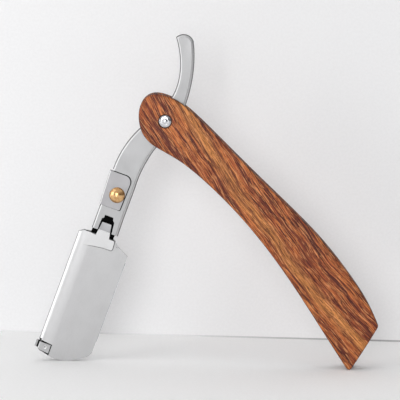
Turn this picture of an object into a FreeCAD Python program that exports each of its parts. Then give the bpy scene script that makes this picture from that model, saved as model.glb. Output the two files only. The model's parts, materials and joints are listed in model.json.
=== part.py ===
"""Folding barber's razor that takes half a safety-razor blade.

Two wooden scales, joined at the tail by a glued wedge, carry a steel arm on a
peened pivot pin. A folded sheet-metal holder is clasped round the arm by an ear
and one brass rivet. The lock leaf behind it turns on the same rivet, swings out
sideways to free the blade, and snaps shut with a tab folded round the toe.

Everything is drawn flat in two frames that share the pivot as their origin:
s runs away from the pivot and t runs across, from the side where the blade's
spine lies (minus) to the other side (plus). y is the depth, front face at -y.
At the end each frame is turned to its resting direction and the whole object
is put on the floor, centred on its bounding box. Lengths are in millimetres.
"""
import FreeCAD
import Part

import math
import os

V = FreeCAD.Vector

# ---- resting pose -----------------------------------------------------------
HANDLE_DIRECTION = -47.5     # degrees above the floor line, pivot to tail
ARM_DIRECTION = -108.8       # the same for the arm, pivot to toe
OPEN_TOTAL = 270.0           # degrees from closed to fully open
LOCK_SWING = 60.0            # degrees that the lock leaf swings out

# ---- handle -----------------------------------------------------------------
SLOT_HALF = 2.3              # half the slot between the scales
SCALE_THICK = 3.2
SCALE_ROUND = 1.1            # rounding of the scales' outer edges
CORNER_R = 2.0               # rounded corners of the slanted tail end
TIP_R = 1.4
WEDGE_START = 118.0          # s where the wedge between the scales begins
PIN_R = 1.25
COLLAR_R = 2.95
COLLAR_SEAT_R = 3.15
COLLAR_SEAT_DEPTH = 0.9
WASHER_R = 5.0
WASHER_THICK = 0.25

# ---- arm --------------------------------------------------------------------
ARM_HALF = 2.0               # half thickness at the pivot and tail
ARM_ROUND = 1.25             # rounding of its long edges
RUNNING = 0.05               # radial running clearance on pivot and rivet
WEB_BACK = -0.1              # y of the thinned lower end's back face
EAR_GAP = 0.42               # gap between the ear and the seat cut for it
STEP_S = 28.1                # s where the back of the arm steps in

# ---- sheet-metal parts ------------------------------------------------------
SHEET = 0.7
STRIP_BACK = WEB_BACK + SHEET         # back face of the holder's strip and flange
LEAF_FRONT = STRIP_BACK + 0.05        # lock leaf slides just behind it
LEAF_BACK = LEAF_FRONT + SHEET
FACE_EDGE_Y = -0.25          # outer face of the holder at the cutting side
FACE_SLOPE = 0.0955          # how fast that face rises towards the spine
SPINE_T = -18.75
EDGE_T = 5.1
NECK_Y = -2.05               # raised neck of the holder

# ---- rivet, studs and blade -------------------------------------------------
RIVET_AT = (37.7, -8.4)
RIVET_HEAD_R = 3.45
RIVET_HEAD_H = 1.75
RIVET_R = 1.4
STUD_T = -5.75
STUD_S = (68.8, 98.8)
BLADE_S = (62.3, 105.3)
BLADE_BACK_T = -5.75
BLADE_EDGE_T = 5.35
BLADE_Y = (0.5, 0.6)


# ---- drawing helpers --------------------------------------------------------
def at(point, y=0.0):
    return V(point[0], y, point[1])


def chain(*steps):
    """A closed wire. Each step is a list of points: two make a line, three an
    arc through the middle one, more a smooth curve."""
    edges = []
    for points in steps:
        p = [at(q) for q in points]
        if len(p) == 2:
            edges.append(Part.makeLine(*p))
        elif len(p) == 3:
            edges.append(Part.Arc(*p).toShape())
        else:
            spline = Part.BSplineCurve()
            spline.interpolate(p)
            edges.append(spline.toShape())
    return Part.Wire(edges)


def slab(wire, y0, y1):
    """A flat outline given thickness from y0 to y1."""
    face = Part.Face(wire)
    face.translate(V(0, y0, 0))
    return face.extrude(V(0, y1 - y0, 0))


def plate(points, y0, y1):
    """The same for a straight-sided outline."""
    ends = list(points) + [points[0]]
    return slab(Part.makePolygon([at(q) for q in ends]), y0, y1)


def disc(centre, r, y0, y1):
    return Part.makeCylinder(r, y1 - y0, at(centre, y0), V(0, 1, 0))


def dome(r, base, top):
    """Profile arc of a spherical cap, from its rim to its crown on the axis."""
    h = abs(top - base)
    ball = (r * r + h * h) / (2 * h)
    half = r / 2
    drop = ball - math.sqrt(ball * ball - half * half)
    return [(r, base), (half, top - math.copysign(drop, top - base)), (0, top)]


def turned(centre, profile):
    """A solid of revolution about the depth axis through centre. profile is a
    list of (radius, y) corners; a three-point entry is an arc."""
    edges = []
    for points in profile:
        p = [V(r, y, 0) for r, y in points]
        edges.append(Part.makeLine(*p) if len(p) == 2 else Part.Arc(*p).toShape())
    solid = Part.Face(Part.Wire(edges)).revolve(V(0, 0, 0), V(0, 1, 0), 360)
    solid.translate(at(centre))
    return solid


def flat_edges(solid, y, keep=lambda middle: True):
    """The edges lying in the plane at depth y whose middle point passes keep."""
    found = []
    for edge in solid.Edges:
        box = edge.BoundBox
        if abs(box.YMin - y) < 1e-4 and abs(box.YMax - y) < 1e-4:
            middle = edge.valueAt((edge.FirstParameter + edge.LastParameter) / 2)
            if keep(middle):
                found.append(edge)
    return found


def joined(first, *others):
    return first.multiFuse(list(others)).removeSplitter() if others else first


def whole(solid):
    """The single solid of a boolean result."""
    solids = solid.Solids
    assert len(solids) == 1, f"{len(solids)} solids"
    return solids[0]


# ---- handle -----------------------------------------------------------------
def handle_slab(y0, y1):
    """A handle-shaped slab: bellied back, hollow front, rounded pivot end and a
    slanted tail with rounded corners."""
    edge = [(128.9, 11.35), (117.3, 14.7), (104.7, 16.4), (84.7, 17.4), (62.6, 16.2),
            (40.0, 14.3), (20.0, 12.9), (6.2, 11.7), (-2.0, 10.2), (-7.9, 7.7),
            (-12.2, 3.9), (-13.2, 0.0), (-11.3, -4.8), (-7.2, -8.6), (-1.5, -11.0),
            (3.6, -10.9), (9.0, -9.3), (16.5, -6.8), (30.0, -4.3), (55.0, -2.7),
            (80.0, -3.9), (105.0, -7.1), (135.97, -11.7)]
    solid = slab(chain(edge, [edge[-1], (132.5, 0.3), edge[0]]), y0, y1)
    for (s, t), r in ((edge[0], CORNER_R), (edge[-1], TIP_R)):
        upright = [e for e in solid.Edges if e.BoundBox.YLength > (y1 - y0) / 2
                   and abs(e.BoundBox.XMin - s) < 0.1 and abs(e.BoundBox.ZMin - t) < 0.1]
        solid = solid.makeFillet(r, upright)
    return solid


def scale(side):
    """One wooden scale; side is -1 for the front one and +1 for the rear one."""
    inner, outer = side * SLOT_HALF, side * (SLOT_HALF + SCALE_THICK)
    solid = handle_slab(min(inner, outer), max(inner, outer))
    solid = solid.makeFillet(SCALE_ROUND, flat_edges(solid, outer))
    seat = outer - side * COLLAR_SEAT_DEPTH
    solid = solid.cut(disc((0, 0), COLLAR_SEAT_R, min(seat, outer), max(seat, outer)))
    return whole(solid.cut(disc((0, 0), PIN_R, -8, 8)))


def tail_wedge():
    """Spacer glued between the scales at the tail."""
    keep = plate([(WEDGE_START, -30), (150, -30), (150, 30), (WEDGE_START + 2.5, 30)],
                 -SLOT_HALF, SLOT_HALF)
    return whole(handle_slab(-SLOT_HALF, SLOT_HALF).common(keep))


def pivot_pin():
    """Straight pin with a low peened dome at each end."""
    end = SLOT_HALF + SCALE_THICK
    body = end - 0.3
    return turned((0, 0), [
        dome(PIN_R, -body, -end)[::-1], [(PIN_R, -body), (PIN_R, body)],
        dome(PIN_R, body, end), [(0, end), (0, -end)],
    ])


def collar(side):
    """Domed collar that the pin is peened over, seated in the scale."""
    seat = SLOT_HALF + SCALE_THICK - COLLAR_SEAT_DEPTH
    rim, top = seat + 0.22, seat + 0.68
    mid_r = (COLLAR_R + PIN_R) / 2
    points = [
        [(PIN_R, seat), (COLLAR_R, seat)],
        [(COLLAR_R, seat), (COLLAR_R, rim)],
        [(COLLAR_R, rim), (mid_r + 0.15, rim + 0.33), (PIN_R, top)],
        [(PIN_R, top), (PIN_R, seat)],
    ]
    return turned((0, 0), [[(r, side * y) for r, y in step] for step in points])


def washer(side):
    """Thin washer that keeps the arm off the scale."""
    inner, outer = side * (SLOT_HALF - WASHER_THICK), side * SLOT_HALF
    low, high = min(inner, outer), max(inner, outer)
    return disc((0, 0), WASHER_R, low, high).cut(disc((0, 0), PIN_R, low, high))


# ---- arm --------------------------------------------------------------------
def arm():
    """Solid arm: curved thumb tail, pivot eye, shank, and a fork at its end."""
    spine = [(-35.4, -8.0), (-27.3, -3.25), (-18.7, -0.75), (-10.4, -0.9), (0.5, -5.75),
             (12.85, -11.65), (21.1, -13.6), (27.6, -14.0)]
    foot = (54.7, -13.9), (54.7, -1.9)
    belly = [foot[1], (42.6, -2.1), (33.8, -2.05), (25.4, -2.05), (20.7, -1.5),
             (12.9, 0.3), (0.85, 4.9), (-13.1, 5.85), (-20.6, 4.9), (-29.2, 2.7),
             (-36.3, -0.3)]
    tip = [belly[-1], (-37.9, -4.9), spine[0]]
    wire = chain(spine, [spine[-1], foot[0]], list(foot), belly, tip)
    solid = slab(wire, -ARM_HALF, ARM_HALF)
    long_edges = [e for y in (-ARM_HALF, ARM_HALF)
                  for e in flat_edges(solid, y, lambda m: m.x < 54.6)]
    solid = solid.makeFillet(ARM_ROUND, long_edges)

    # back of the lower end, cut thin for the holder's strip and the lock leaf
    solid = solid.cut(plate([(STEP_S, -20), (60, -20), (60, 5), (STEP_S, 5)], WEB_BACK, 4))
    # shoulder in the spine for the ear's fold, and shallow seat for its front
    solid = solid.cut(plate([(27.5, -16), (27.5, -13.35), (44.0, -13.4), (44.0, -16)], -4, 4))
    solid = solid.cut(slab(ear_wire(EAR_GAP), -4, -ARM_HALF + SHEET + 0.02))
    # fork that the holder's tongue drops into
    solid = solid.cut(plate([
        (60, -11.45), (49.5, -11.15), (48.9, -10.35), (47.6, -10.35), (47.6, -6.5),
        (48.8, -6.2), (49.6, -5.35), (60, -4.2),
    ], -4, 4))
    solid = solid.cut(disc((0, 0), PIN_R + RUNNING, -4, 4))
    return whole(solid.cut(disc(RIVET_AT, RIVET_R, -4, 4)))


# ---- blade holder -----------------------------------------------------------
def ear_wire(grow=0.0):
    """Front outline of the holder's ear, grown at its top and right edges."""
    top, right = 28.45 - grow, -4.75 + grow
    low = 43.9 + min(grow, 0.08)
    return chain(
        [(top, -15.0), (top, -8.2)],
        [(top, -8.2), (top + 0.85, -5.6 + grow * 0.7), (top + 3.4, right)],
        [(top + 3.4, right), (low - 1.0, right - 0.35)],
        [(low - 1.0, right - 0.35), (low - 0.25, right - 0.6), (low, right - 1.35)],
        [(low, right - 1.35), (low, -14.3)],
        [(low, -14.3), (top, -15.0)],
    )


def ear():
    """Ear folded from the strip round the arm's spine onto its front face."""
    solid = slab(ear_wire(), -ARM_HALF, STRIP_BACK)
    folds = [e for y in (-ARM_HALF, STRIP_BACK)
             for e in flat_edges(solid, y, lambda m: m.z < -14.2)]
    solid = solid.makeFillet(0.6, folds)
    gap = plate([(20, -13.85), (28.45, -14.25), (43.9, -13.55), (50, -13.3), (50, 5), (20, 5)],
                -ARM_HALF + SHEET, WEB_BACK)
    return solid.cut(gap)


def toe_curve(start, inset):
    """The curved toe, from the cutting side round to the spine side."""
    curve = [(109.7, 3.9), (111.7, 1.3), (113.9, -2.5), (115.15, -6.6), (115.5, -9.6),
             (115.2, -11.8), (114.6, -14.4), (114.1, -17.0)]
    return [(107.7 - inset, start)] + [(s - inset, t - 0.7 * inset) for s, t in curve]


def head_wire():
    """Outline of the blade holder's face, with its curved toe."""
    right_top = (61.8, EDGE_T)
    toe = toe_curve(EDGE_T, 0.0)
    return chain(
        [(57.0, -2.2), (58.1, -1.35), (59.2, -0.2)],
        [(59.2, -0.2), right_top],
        [right_top, toe[0]],
        toe,
        [toe[-1], (113.9, SPINE_T - 1)],
        [(113.9, SPINE_T - 1), (58.2, SPINE_T - 1)],
        [(58.2, SPINE_T - 1), (58.2, SPINE_T), (57.0, -16.8)],
        [(57.0, -16.8), (57.0, -2.2)],
    )


def face_y(t, inside=0.0):
    """Depth of the holder's sloping face at t."""
    return FACE_EDGE_Y - (EDGE_T - t) * FACE_SLOPE + inside


def folded_section():
    """Section of the holder across its length: sloping face, rolled spine and
    a flat flange at the back."""
    roll_t, flange_t = -12.5, -8.0
    outer = [(roll_t, face_y(roll_t)), (-15.0, -2.0), (-16.8, -1.83), (-18.0, -1.4),
             (-18.6, -0.9), (SPINE_T, -0.45), (-18.45, 0.15), (-17.4, STRIP_BACK)]
    inner = [(-17.0, WEB_BACK), (-17.7, -0.3), (-17.95, -0.6), (-17.6, -0.95),
             (-16.5, -1.18), (-15.0, -1.3), (roll_t, face_y(roll_t, SHEET))]
    along_face = V(0, -FACE_SLOPE, -1)

    def edge(points, start=None, end=None):
        p = [V(0, y, t) for t, y in points]
        if len(p) == 2:
            return Part.makeLine(*p)
        spline = Part.BSplineCurve()
        spline.interpolate(Points=p, InitialTangent=start, FinalTangent=end)
        return spline.toShape()

    cut_side = [(EDGE_T, FACE_EDGE_Y + SHEET), (EDGE_T, FACE_EDGE_Y)]
    return Part.Face(Part.Wire([
        edge([cut_side[1], outer[0]]), edge(outer, along_face, V(0, 0, 1)),
        edge([outer[-1], (flange_t, STRIP_BACK)]),
        edge([(flange_t, STRIP_BACK), (flange_t, WEB_BACK)]),
        edge([(flange_t, WEB_BACK), inner[0]]), edge(inner, V(0, 0, -1), -along_face),
        edge([inner[-1], cut_side[0]]), edge(cut_side),
    ]))


def neck():
    """Raised neck: level with the arm, it ends in a step above the face."""
    step = [(61.9, -1.85), (61.85, -5.0), (62.3, -9.2), (63.5, -15.0)]
    solid = slab(chain([(57.0, -15.0), (57.0, -2.2)], [(57.0, -2.2), step[0]], step,
                       [step[-1], (57.0, -15.0)]), NECK_Y, 0.0)
    corners = [e for e in solid.Edges if e.BoundBox.YLength > 1 and e.BoundBox.ZMin > -3]
    solid = solid.makeFillet(1.0, corners)
    rim = flat_edges(solid, NECK_Y, lambda m: m.x > 57.1 and m.z > -14.9)
    return solid.makeFillet(0.35, rim)


def tongue():
    """Tongue that drops between the fork's prongs, bent down past its crease."""
    crease, tip = 54.5, 50.95
    side = [V(x, y, -20) for x, y in [
        (57.6, NECK_Y), (crease, NECK_Y), (tip, NECK_Y + 0.5), (tip, NECK_Y + 0.5 + SHEET),
        (crease, NECK_Y + SHEET), (57.6, NECK_Y + SHEET)]]
    bent = Part.Face(Part.makePolygon(side + side[:1])).extrude(V(0, 0, 40))
    outline = plate([(57.6, -11.25), (tip, -10.35), (tip, -6.2), (57.6, -5.0)], -4, 4)
    solid = bent.common(outline)
    # scored bend line with a centre mark at each end
    low = NECK_Y + 0.12
    solid = solid.cut(plate([(crease - 0.07, -12), (crease + 0.07, -12),
                             (crease + 0.07, -4), (crease - 0.07, -4)], -4, low))
    for t in (-9.4, -7.2):
        solid = solid.cut(disc((crease, t), 0.26, -4, low + 0.1))
    return solid


def holder():
    """Folded holder: head shell, neck, tongue, strip behind the arm, and ear."""
    shell = folded_section().extrude(V(70, 0, 0))
    shell.translate(V(50, 0, 0))
    shell = shell.common(slab(head_wire(), -4, 4))
    # sheet pressed in at the toe, where the lock leaf's tab lies
    pocket = [(109.9, -12.5), (109.2, -20), (118, -20), (118, -12.5)]
    notch = [(109.4, -17.25), (109.2, -20), (118, -20), (118, -17.25)]
    patch = plate([(109.5, -12.2), (109.1, -17.1), (113.6, -17.1), (114.6, -12.2)], -1.5, -0.9)
    shell = shell.cut(plate(pocket, -4, -1.5)).cut(plate(notch, -4, 4)).fuse(patch)
    strip = plate([(43.0, -13.35), (57.6, -13.6), (57.6, -16.0), (60.5, -16.0), (60.5, -8.0),
                   (59.4, -3.6), (52.0, -3.0), (43.0, -3.6)], WEB_BACK, STRIP_BACK)
    solid = joined(shell, neck(), tongue(), strip, ear())
    # relief hole where the neck meets the face
    solid = solid.cut(disc((59.5, -0.6), 0.32, -4, WEB_BACK))
    for s in STUD_S:
        solid = solid.cut(stud(s))
    return whole(solid.cut(disc(RIVET_AT, RIVET_R, -4, 4)))


def stud(s):
    """Stepped stud that carries and centres the half blade."""
    foot, seat, top = -0.9, BLADE_Y[0], BLADE_Y[1] + 0.02
    return turned((s, STUD_T), [
        [(0, foot), (2.1, foot)], [(2.1, foot), (2.1, seat)], [(2.1, seat), (1.7, seat)],
        [(1.7, seat), (1.7, top)], [(1.7, top), (0, top)], [(0, top), (0, foot)],
    ])


def half_blade():
    """Safety-razor blade snapped in half along its slot."""
    s0, s1 = BLADE_S
    corner_s, corner_t = 2.8, 2.2
    solid = plate([
        (s0, BLADE_BACK_T), (s1, BLADE_BACK_T), (s1, BLADE_EDGE_T - corner_t),
        (s1 - corner_s, BLADE_EDGE_T - corner_t), (s1 - corner_s, BLADE_EDGE_T),
        (s0 + corner_s, BLADE_EDGE_T), (s0 + corner_s, BLADE_EDGE_T - corner_t),
        (s0, BLADE_EDGE_T - corner_t),
    ], *BLADE_Y)
    for s in STUD_S:
        solid = solid.cut(disc((s, STUD_T), 1.75, -1, 2))
    return whole(solid)


# ---- rivet ------------------------------------------------------------------
def arm_rivet():
    """Brass rivet: tall domed head in front, small peened tail behind."""
    head, under = -ARM_HALF - RIVET_HEAD_H, -ARM_HALF
    seat, tail = LEAF_BACK + 0.45, LEAF_BACK + 1.2
    return turned(RIVET_AT, [
        dome(RIVET_HEAD_R, under, head)[::-1], [(RIVET_HEAD_R, under), (RIVET_R, under)],
        [(RIVET_R, under), (RIVET_R, seat)], [(RIVET_R, seat), (2.3, seat)],
        dome(2.3, seat, tail), [(0, tail), (0, head)],
    ])


def rivet_washer():
    """Washer under the rivet's tail, on which the lock leaf turns."""
    low, high = LEAF_BACK + RUNNING, LEAF_BACK + 0.45
    return disc(RIVET_AT, 3.2, low, high).cut(disc(RIVET_AT, RIVET_R, low, high))


# ---- lock leaf --------------------------------------------------------------
def lock_leaf():
    """Flat leaf behind the blade, with a tab folded round the spine at the toe."""
    s, t = RIVET_AT
    r = 5.0
    edge = EDGE_T - 0.35
    toe = toe_curve(edge, 0.35)
    side = SPINE_T + 0.3
    wire = chain(
        [(s, t - r), (s - r, t), (s, t + r)],
        [(s, t + r), (56.6, t + r)],
        [(56.6, t + r), (59.6, -0.5)],
        [(59.6, -0.5), (61.9, edge)],
        [(61.9, edge), toe[0]],
        toe,
        [toe[-1], (113.5, side)],
        [(113.5, side), (59.2, side)],
        [(59.2, side), (57.6, -17.5), (57.1, -15.9)],
        [(57.1, -15.9), (56.6, t - r)],
        [(56.6, t - r), (s, t - r)],
    )
    leaf = slab(wire, LEAF_FRONT, LEAF_BACK)
    # tab: forward through the notch and back over the face; lip for the thumbnail
    top, low, front, outside = 110.2, 113.6, -2.3, -18.1
    fold = plate([(top, outside), (top, -12.9), (low + 0.5, -12.9), (low, outside)],
                 front, LEAF_BACK)
    fold = fold.makeFillet(0.5, flat_edges(fold, front, lambda m: m.z < outside + 0.3))
    fold = fold.cut(plate([(100, outside + SHEET), (100, 0), (120, 0), (120, outside + SHEET)],
                          front + SHEET, LEAF_FRONT))
    fold = fold.cut(Part.makeSphere(1.4, V(111.9, front - 1.15, -15.2)))
    lip = plate([(top + 0.2, -19.7), (top, -17.5), (low, -17.5), (low - 0.2, -19.7)],
                LEAF_FRONT, LEAF_BACK)
    solid = joined(leaf, fold, lip)
    return whole(solid.cut(disc(RIVET_AT, RIVET_R + RUNNING, -4, 4)))


# ---- assembly ---------------------------------------------------------------
def main():
    handle_parts = {
        "front_scale": scale(-1), "rear_scale": scale(1), "tail_wedge": tail_wedge(),
        "pivot_pin": pivot_pin(), "front_collar": collar(-1), "rear_collar": collar(1),
        "front_washer": washer(-1), "rear_washer": washer(1),
    }
    arm_parts = {
        "arm": arm(), "holder": holder(), "arm_rivet": arm_rivet(),
        "rivet_washer": rivet_washer(), "upper_stud": stud(STUD_S[0]),
        "lower_stud": stud(STUD_S[1]), "half_blade": half_blade(), "lock_leaf": lock_leaf(),
    }
    for parts, direction in ((handle_parts, HANDLE_DIRECTION), (arm_parts, ARM_DIRECTION)):
        for shape in parts.values():
            shape.rotate(V(0, 0, 0), V(0, -1, 0), direction)
    parts = {**handle_parts, **arm_parts}
    box = Part.makeCompound(list(parts.values())).optimalBoundingBox(False)
    shift = V(-(box.XMin + box.XMax) / 2, -(box.YMin + box.YMax) / 2, -box.ZMin)
    os.makedirs("parts", exist_ok=True)
    for name, shape in parts.items():
        shape.translate(shift)
        shape.exportStep(f"parts/{name}.step")

    turn = math.radians(ARM_DIRECTION)
    s, t = RIVET_AT
    rivet = V(s * math.cos(turn) - t * math.sin(turn), 0,
              s * math.sin(turn) + t * math.cos(turn)) + shift
    closed = ARM_DIRECTION - HANDLE_DIRECTION
    print("size", round(box.XLength, 2), round(box.YLength, 2), round(box.ZLength, 2))
    print("pivot at", [round(c / 1000, 6) for c in shift])
    print("rivet at", [round(c / 1000, 6) for c in rivet])
    print("pivot range", round(closed, 2), round(closed + OPEN_TOTAL, 2))
    print("lock range", 0, LOCK_SWING)


main()
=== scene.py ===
"""Looks of the folding razor: studio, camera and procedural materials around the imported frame."""

import json
import math

import bpy
from mathutils import Matrix, Vector

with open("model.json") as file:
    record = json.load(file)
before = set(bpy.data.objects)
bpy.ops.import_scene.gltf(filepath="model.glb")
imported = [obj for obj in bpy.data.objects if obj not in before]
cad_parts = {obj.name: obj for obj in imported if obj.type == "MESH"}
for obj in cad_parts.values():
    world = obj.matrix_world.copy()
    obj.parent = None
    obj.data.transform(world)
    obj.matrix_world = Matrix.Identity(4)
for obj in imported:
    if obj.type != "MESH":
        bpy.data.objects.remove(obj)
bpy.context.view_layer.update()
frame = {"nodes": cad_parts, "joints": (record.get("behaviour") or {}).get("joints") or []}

NODES = frame["nodes"]
PIVOT = Vector(next(j["pos_m"] for j in frame["joints"] if j["name"] == "pivot"))
HANDLE_TURN = math.radians(-47.5)   # pivot to tail, from +X towards +Z
ARM_TURN = math.radians(-108.8)     # pivot to toe

# The grain bends away from the handle on both sides of this place, and wanders.
GRAIN_BEND_S, GRAIN_BEND, GRAIN_DRIFT = 120.0, -0.0007, 4.5
# Limits of the sapwood and of the painted shade and highlights, in millimetres in the frame of the
# piece: S along it from the pivot, Y in depth, T across it. Each pair is (none, full).
SAPWOOD_T = (-1.6, 1.4), (6.2, 3.6)
EAR_SEAT_S, EAR_SEAT_Y = ((27.0, 27.4), (44.8, 44.4)), ((-1.75, -1.5), (-0.9, -1.0))
EAR_SEAT_T = (-3.9, -4.1)
EAR_FOOT_S = (45.0, 44.5)
TONGUE_END_S = (50.0, 50.3), (54.5, 54.3)
SPINE_ROLL_T = (-12.5, -13.5)
FORK_S, FORK_Y = ((44.5, 45.5), (57.6, 57.0)), (-1.2, -0.6)
POCKET_S, POCKET_Y, POCKET_T = (108.6, 109.0), (-1.62, -1.55), (-12.0, -12.4)
LIP_CORNER_T, LIP_CORNER_Y = ((-19.0, -18.8), (-17.9, -18.0)), (-2.0, -1.8)
BROKEN_EDGE_MM = 0.25
WALL_JOINT_Z, WALL_JOINT_X = (0.0009, 0.0005), (-0.04, 0.08)    # metres


# ---- node helpers -----------------------------------------------------------
class Tree:
    """A material's node tree with short calls for the nodes used below."""

    def __init__(self, name):
        self.mat = bpy.data.materials.new(name)
        self.mat.use_nodes = True
        self.tree = self.mat.node_tree
        self.tree.nodes.clear()
        self.out = self.add("ShaderNodeOutputMaterial")

    def add(self, kind, **settings):
        node = self.tree.nodes.new(kind)
        for key, value in settings.items():
            setattr(node, key, value)
        return node

    def put(self, value, socket):
        """Links a socket, or sets a plain number, vector or colour."""
        if isinstance(value, bpy.types.NodeSocket):
            self.tree.links.new(value, socket)
        else:
            socket.default_value = value

    def math(self, operation, a, b=0.0, c=0.0):
        node = self.add("ShaderNodeMath", operation=operation)
        for value, socket in zip((a, b, c), node.inputs):
            self.put(value, socket)
        return node.outputs[0]

    def times(self, first, *others):
        for other in others:
            first = self.math("MULTIPLY", first, other)
        return first

    def place(self, turn):
        """Position in millimetres from the pivot: x along the piece, y depth,
        z across it. turn is the piece's direction at rest."""
        origin = PIVOT * 1000
        along = origin.x * math.cos(turn) + origin.z * math.sin(turn)
        across = -origin.x * math.sin(turn) + origin.z * math.cos(turn)
        node = self.add("ShaderNodeMapping")
        node.inputs["Scale"].default_value = (1000, 1000, 1000)
        node.inputs["Rotation"].default_value = (0, turn, 0)
        node.inputs["Location"].default_value = (-along, 0, -across)
        self.put(self.add("ShaderNodeTexCoord").outputs["Object"], node.inputs["Vector"])
        return node.outputs[0]

    def split(self, vector):
        node = self.add("ShaderNodeSeparateXYZ")
        self.put(vector, node.inputs[0])
        return node.outputs

    def stretch(self, vector, scale, offset=(0, 0, 0)):
        node = self.add("ShaderNodeMapping")
        node.inputs["Scale"].default_value = scale
        node.inputs["Location"].default_value = offset
        self.put(vector, node.inputs["Vector"])
        return node.outputs[0]

    def noise(self, vector, scale, detail=3.0, rough=0.5):
        node = self.add("ShaderNodeTexNoise")
        self.put(vector, node.inputs["Vector"])
        for key, value in (("Scale", scale), ("Detail", detail), ("Roughness", rough)):
            node.inputs[key].default_value = value
        return node.outputs["Fac"]

    def span(self, value, low, high, to_low=0.0, to_high=1.0):
        node = self.add("ShaderNodeMapRange", interpolation_type="SMOOTHSTEP")
        for v, socket in zip((value, low, high, to_low, to_high), node.inputs):
            self.put(v, socket)
        return node.outputs[0]

    def between(self, value, rise, fall):
        """1 between two limits, falling to 0 outside them."""
        return self.times(self.span(value, *rise), self.span(value, *fall))

    def mix(self, factor, a, b):
        node = self.add("ShaderNodeMix", data_type="RGBA")
        self.put(factor, node.inputs["Factor"])
        self.put(a, node.inputs[6])
        self.put(b, node.inputs[7])
        return node.outputs[2]

    def sidewards(self, none, full):
        """0 on faces turned to the front or back, 1 on faces turned sideways."""
        normal = self.split(self.add("ShaderNodeTexCoord").outputs["Normal"])
        return self.span(self.math("ABSOLUTE", normal[1]), none, full)

    def bump(self, height, strength, distance_mm):
        node = self.add("ShaderNodeBump")
        self.put(height, node.inputs["Height"])
        node.inputs["Strength"].default_value = strength
        node.inputs["Distance"].default_value = distance_mm / 1000
        return node.outputs[0]

    def shade(self, **sockets):
        """Principled shader with the named sockets set, wired to the output."""
        node = self.add("ShaderNodeBsdfPrincipled")
        for key, value in sockets.items():
            self.put(value, node.inputs[key.replace("_", " ")])
        self.put(node.outputs[0], self.out.inputs[0])
        return self.mat


def srgb(r, g, b):
    """A colour read as 0-255 screen values, as the linear colour a shader takes."""
    def linear(v):
        v /= 255
        return v / 12.92 if v <= 0.04045 else ((v + 0.055) / 1.055) ** 2.4
    return (linear(r), linear(g), linear(b), 1.0)


def darker(colour, by):
    return srgb(*[c - by for c in colour])


CREVICE_SHADE = srgb(10, 10, 10)              # painted shade: near-black colour painted into gaps, recesses and corners


# ---- materials --------------------------------------------------------------
def wood_material():
    """Oiled striped hardwood. The grain is straight while the handle curves,
    with a golden band of sapwood down the middle."""
    t = Tree("oiled_wood")
    place = t.place(HANDLE_TURN)
    s, depth, across = t.split(place)
    drift = t.noise(t.stretch(place, (0.035, 0.03, 0.05)), 1.0, 2.0)
    off_bend = t.math("SUBTRACT", s, GRAIN_BEND_S)
    lean = t.times(t.math("POWER", off_bend, 2.0), GRAIN_BEND)
    across_grain = t.math("MULTIPLY_ADD", drift, GRAIN_DRIFT, t.math("ADD", across, lean))
    line = t.add("ShaderNodeCombineXYZ")
    t.put(t.times(s, 0.022), line.inputs[0])
    t.put(t.times(depth, 0.12), line.inputs[1])
    t.put(across_grain, line.inputs[2])
    grain = line.outputs[0]

    def stripes(along, fineness, offset, low, high, detail=3.0):
        field = t.noise(t.stretch(grain, (along, 1.0, fineness), offset), 1.0, detail, 0.6)
        return t.span(field, low, high)

    sapwood = t.between(across_grain, *SAPWOOD_T)
    base = t.mix(stripes(1.0, 0.22, (0, 0, 0), 0.40, 0.60), srgb(168, 86, 46), srgb(196, 110, 56))
    base = t.mix(t.times(stripes(1.0, 0.8, (5, 1, 2), 0.46, 0.6), 0.7), base,
                 srgb(214, 128, 66))
    base = t.mix(t.times(sapwood, 0.7), base, srgb(218, 148, 80))
    heart = t.math("SUBTRACT", 1.0, t.times(sapwood, 0.5))
    colour = t.mix(t.times(heart, stripes(1.5, 0.7, (7, 0, 3), 0.50, 0.60, 4.0)),
                   base, srgb(122, 54, 32))
    colour = t.mix(t.times(stripes(1.5, 0.45, (2, 8, 4), 0.55, 0.66), 0.45),
                   colour, srgb(92, 38, 32))
    colour = t.mix(t.times(heart, stripes(2.4, 1.7, (4, 2, 13), 0.50, 0.58)),
                   colour, srgb(84, 34, 24))
    fine = stripes(6.0, 3.4, (1, 5, 9), 0.48, 0.56, 2.0)
    colour = t.mix(t.times(fine, 0.5), colour, srgb(80, 36, 22))
    pits = stripes(16.0, 4.2, (3, 2, 1), 0.56, 0.62, 2.0)
    colour = t.mix(t.times(pits, 0.75), colour, srgb(44, 18, 14))
    pale = stripes(8.0, 2.8, (9, 4, 7), 0.56, 0.64, 2.0)
    colour = t.mix(t.times(pale, 0.55), colour, srgb(232, 158, 100))
    # painted shade: the rounded edges, turned sideways, are painted dark brown
    colour = t.mix(t.times(t.sidewards(0.80, 0.30), 0.8), colour, srgb(52, 24, 16))
    height = t.math("SUBTRACT", 1.0, t.math("ADD", t.times(fine, 0.35),
                                            t.times(pits, 0.65)))
    return t.shade(Base_Color=colour, Roughness=t.span(fine, 0.0, 1.0, 0.42, 0.6),
                   Normal=t.bump(height, 0.6, 0.05), Specular_IOR_Level=0.28)


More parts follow.
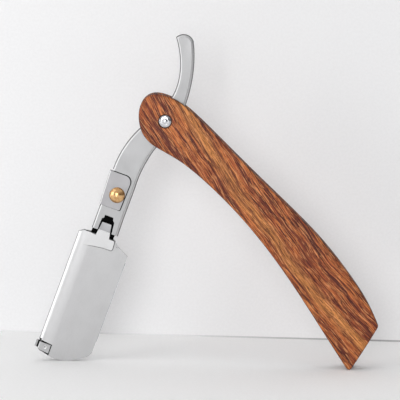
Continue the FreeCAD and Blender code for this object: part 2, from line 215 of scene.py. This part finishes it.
def steel_material(name, colour, rough, detail):
    """Bead-blasted steel: fine even grain and faint cloudy marks. detail adds
    the painted highlights and painted shade of one piece."""
    t = Tree(name)
    place = t.place(ARM_TURN)
    beads = t.noise(place, 5.0, 2.0, 0.6)
    clouds = t.noise(place, 0.16, 3.0, 0.55)
    marks = t.noise(t.stretch(place, (0.25, 1.0, 1.6)), 1.0, 4.0, 0.6)
    base = t.mix(t.span(clouds, 0.35, 0.65), darker(colour, 4), srgb(*colour))
    base = t.mix(t.times(t.span(marks, 0.55, 0.7), 0.2), base, darker(colour, 16))
    base = t.mix(t.times(t.span(beads, 0.6, 0.7), 0.25), base, darker(colour, 30))
    roughness = t.span(clouds, 0.3, 0.7, rough - 0.04, rough + 0.05)
    base = detail(t, t.split(place), base)
    return t.shade(Base_Color=base, Metallic=1.0, Roughness=roughness,
                   Normal=t.bump(beads, 0.35, 0.02))


def edge_highlight_and_shade(t, base, highlight_limits, highlight_amount, shade, where=1.0):
    """Painted highlight and painted shade on edges: rounded edges are painted
    bright by the given amount, then painted dark on the side faces. The two limit
    pairs are (start, full) limits of how far the face is turned away."""
    bright = t.times(t.sidewards(*highlight_limits), where)
    base = t.mix(t.times(bright, highlight_amount), base, srgb(240, 240, 241))
    return t.mix(t.times(t.sidewards(*shade), 0.85), base, srgb(40, 40, 42))


def arm_painted_light(t, place, base):
    """Painted edge highlights and painted shade, and painted near-black shade in the seat round the
    ear.
    """
    s, depth, across = place
    base = edge_highlight_and_shade(t, base, (0.985, 0.92), 0.60, (0.84, 0.50))
    in_seat = t.times(t.between(s, *EAR_SEAT_S), t.between(depth, *EAR_SEAT_Y),
                      t.span(across, *EAR_SEAT_T))
    return t.mix(in_seat, base, CREVICE_SHADE)


def holder_painted_light(t, place, base):
    """Painted shade: the strip seen through the fork and the floor of the toe's pocket are painted
    black, the ear and the bent end of the tongue are painted darker, and the edges are painted
    dark; the spine roll gets a painted highlight."""
    s, depth, across = place
    on_ear = t.span(s, *EAR_FOOT_S)
    base = t.mix(t.times(on_ear, 0.9), base, srgb(150, 149, 151))
    base = t.mix(t.between(s, *TONGUE_END_S), base, srgb(140, 140, 142))
    spine = t.span(across, *SPINE_ROLL_T)
    base = edge_highlight_and_shade(t, base, (0.995, 0.90), 0.75, (0.78, 0.35), spine)
    front = t.math("SUBTRACT", 1.0, spine)
    base = t.mix(t.times(t.sidewards(0.96, 0.75), front), base, srgb(30, 30, 32))
    in_fork = t.times(t.between(s, *FORK_S), t.span(depth, *FORK_Y))
    in_pocket = t.times(t.span(s, *POCKET_S), t.span(depth, *POCKET_Y),
                        t.span(across, *POCKET_T))
    return t.mix(t.math("MAXIMUM", in_fork, in_pocket), base, CREVICE_SHADE)


def leaf_painted_light(t, place, base):
    """Painted edge highlights and painted shade, and painted near-black shade in the corner between
    the toe's tab and the nail lip.
    """
    s, depth, across = place
    base = edge_highlight_and_shade(t, base, (0.97, 0.90), 0.8, (0.75, 0.50))
    corner = t.times(t.between(across, *LIP_CORNER_T), t.span(depth, *LIP_CORNER_Y))
    return t.mix(corner, base, CREVICE_SHADE)


def polished_material():
    t = Tree("polished_steel")
    place = t.place(HANDLE_TURN)
    swirls = t.noise(place, 1.6, 3.0, 0.6)
    base = t.mix(t.span(swirls, 0.4, 0.7), srgb(196, 196, 200), srgb(222, 222, 224))
    return t.shade(Base_Color=base, Metallic=1.0,
                   Roughness=t.span(swirls, 0.3, 0.7, 0.10, 0.22),
                   Normal=t.bump(t.noise(place, 7.0, 2.0), 0.12, 0.01))


def brass_material():
    t = Tree("polished_brass")
    place = t.place(ARM_TURN)
    tarnish = t.noise(place, 0.7, 3.0, 0.6)
    base = t.mix(t.span(tarnish, 0.4, 0.7), srgb(232, 190, 138), srgb(206, 154, 100))
    return t.shade(Base_Color=base, Metallic=1.0,
                   Roughness=t.span(tarnish, 0.3, 0.7, 0.16, 0.28),
                   Normal=t.bump(t.noise(place, 6.0, 2.0), 0.15, 0.01))


def blade_material():
    t = Tree("blade_steel")
    place = t.place(ARM_TURN)
    brush = t.noise(t.stretch(place, (0.3, 1.0, 9.0)), 1.0, 3.0)
    base = t.mix(t.span(brush, 0.4, 0.6), srgb(176, 178, 184), srgb(206, 208, 212))
    return t.shade(Base_Color=base, Metallic=1.0, Roughness=t.span(brush, 0.3, 0.7, 0.2, 0.34))


def wall_material(name, colour, see_through):
    """Matt paper with a faint tooth. A wall is painted a darker grey along its
    foot, where it meets the floor, and is clear when seen from behind."""
    t = Tree(name)
    place = t.add("ShaderNodeTexCoord").outputs["Object"]
    tooth = t.noise(place, 900.0, 2.0)
    base = t.mix(t.span(tooth, 0.3, 0.7), darker(colour, 3), srgb(*colour))
    if see_through:
        x, _, z = t.split(place)
        joint = t.times(t.span(z, *WALL_JOINT_Z), t.span(x, *WALL_JOINT_X, 0.1, 0.8))
        base = t.mix(joint, base, srgb(150, 150, 150))
    t.shade(Base_Color=base, Roughness=0.9, Specular_IOR_Level=0.2)
    if see_through:
        lit = t.out.inputs[0].links[0].from_socket
        clear = t.add("ShaderNodeBsdfTransparent")
        both = t.add("ShaderNodeMixShader")
        t.put(t.add("ShaderNodeNewGeometry").outputs["Backfacing"], both.inputs[0])
        t.put(lit, both.inputs[1])
        t.put(clear.outputs[0], both.inputs[2])
        t.put(both.outputs[0], t.out.inputs[0])
    return t.mat


def set_material(names, mat):
    for name in names:
        slots = NODES[name].data.materials
        slots.clear()
        slots.append(mat)


set_material(["front_scale", "rear_scale", "tail_wedge"], wood_material())
set_material(["arm"], steel_material("arm_steel", (168, 168, 169), 0.50, arm_painted_light))
set_material(["holder"], steel_material("holder_steel", (194, 194, 195), 0.46, holder_painted_light))
set_material(["lock_leaf"], steel_material("leaf_steel", (176, 176, 177), 0.50, leaf_painted_light))
set_material(["pivot_pin", "front_collar", "rear_collar", "rivet_washer", "upper_stud",
              "lower_stud"], polished_material())
set_material(["arm_rivet", "front_washer", "rear_washer"], brass_material())
set_material(["half_blade"], blade_material())


# ---- studio -----------------------------------------------------------------
WALL_Y = 0.060                # wall behind the razor
VIEW_DISTANCE = 0.85
VIEW_HEIGHT = math.radians(7.5)
VIEW_ROLL = math.radians(1.54)
VIEW_WIDTH = 0.17426          # width of the picture at the razor
AIM = Vector((-0.00405, 0.0, 0.0727))
LIGHT_AIM = Vector((0, 0, 0.07))
ROOM_LIGHT = (0.10, 0.80)       # at eye level and overhead
ROOM_SIZE = 1.6


def sheet(name, corners, mat):
    mesh = bpy.data.meshes.new(name)
    mesh.from_pydata(corners, [], [(0, 1, 2, 3)])
    mesh.materials.append(mat)
    piece = bpy.data.objects.new(name, mesh)
    bpy.context.scene.collection.objects.link(piece)


def studio():
    far = ROOM_SIZE
    sheet("floor", [(-far, -far, 0), (far, -far, 0), (far, WALL_Y, 0), (-far, WALL_Y, 0)],
          wall_material("floor_paper", (248, 248, 248), False))
    sheet("floor_behind", [(-far, WALL_Y, 0), (far, WALL_Y, 0), (far, far, 0), (-far, far, 0)],
          wall_material("floor_paper_behind", (248, 248, 248), False))
    sheet("wall", [(-far, WALL_Y, 0), (far, WALL_Y, 0), (far, WALL_Y, far), (-far, WALL_Y, far)],
          wall_material("wall_paper", (240, 240, 241), True))


def soft_light(name, place, size, power):
    data = bpy.data.lights.new(name, "AREA")
    data.shape = "RECTANGLE"
    data.size = data.size_y = size
    data.energy = power
    lamp = bpy.data.objects.new(name, data)
    lamp.location = place
    towards = LIGHT_AIM - Vector(place)
    lamp.rotation_euler = towards.to_track_quat("-Z", "Y").to_euler()
    bpy.context.scene.collection.objects.link(lamp)


def lights():
    soft_light("key", (-0.15, -1.15, 0.28), 0.45, 4.7)
    soft_light("side", (-1.05, -0.55, 0.30), 0.7, 4.2)
    soft_light("above", (-0.9, -0.6, 1.1), 0.9, 1.5)
    world = bpy.data.worlds.new("room")
    world.use_nodes = True
    tree = world.node_tree
    sky = tree.nodes["Background"]
    # a pale ceiling above a dim room
    place = tree.nodes.new("ShaderNodeTexCoord")
    split = tree.nodes.new("ShaderNodeSeparateXYZ")
    lift = tree.nodes.new("ShaderNodeMapRange")
    for value, socket in zip((0.0, 1.0, *ROOM_LIGHT), list(lift.inputs)[1:5]):
        socket.default_value = value
    tree.links.new(place.outputs["Generated"], split.inputs[0])
    tree.links.new(split.outputs[2], lift.inputs[0])
    tree.links.new(lift.outputs[0], sky.inputs[1])
    sky.inputs[0].default_value = (1, 1, 1, 1)
    bpy.context.scene.world = world


def camera():
    back = Vector((0, -math.cos(VIEW_HEIGHT), math.sin(VIEW_HEIGHT)))
    data = bpy.data.cameras.new("view")
    data.sensor_width = 36
    data.lens = 36 * VIEW_DISTANCE / VIEW_WIDTH
    eye = bpy.data.objects.new("view", data)
    eye.location = AIM + back * VIEW_DISTANCE
    face = (-back).to_track_quat("-Z", "Y").to_matrix()
    eye.rotation_euler = (face @ Matrix.Rotation(VIEW_ROLL, 3, "Z")).to_euler()
    bpy.context.scene.collection.objects.link(eye)
    bpy.context.scene.camera = eye


def soften_edges(name, width_mm):
    """Breaks the sharp edges left by the shear, as tumbling does."""
    bevel = NODES[name].modifiers.new("broken_edges", "BEVEL")
    bevel.width = width_mm / 1000
    bevel.segments = 2
    bevel.limit_method = "ANGLE"
    bevel.angle_limit = math.radians(50)
    bevel.use_clamp_overlap = True


for piece in ("holder", "lock_leaf"):
    soften_edges(piece, BROKEN_EDGE_MM)
studio()
lights()
camera()
bpy.context.scene.view_settings.view_transform = "Standard"
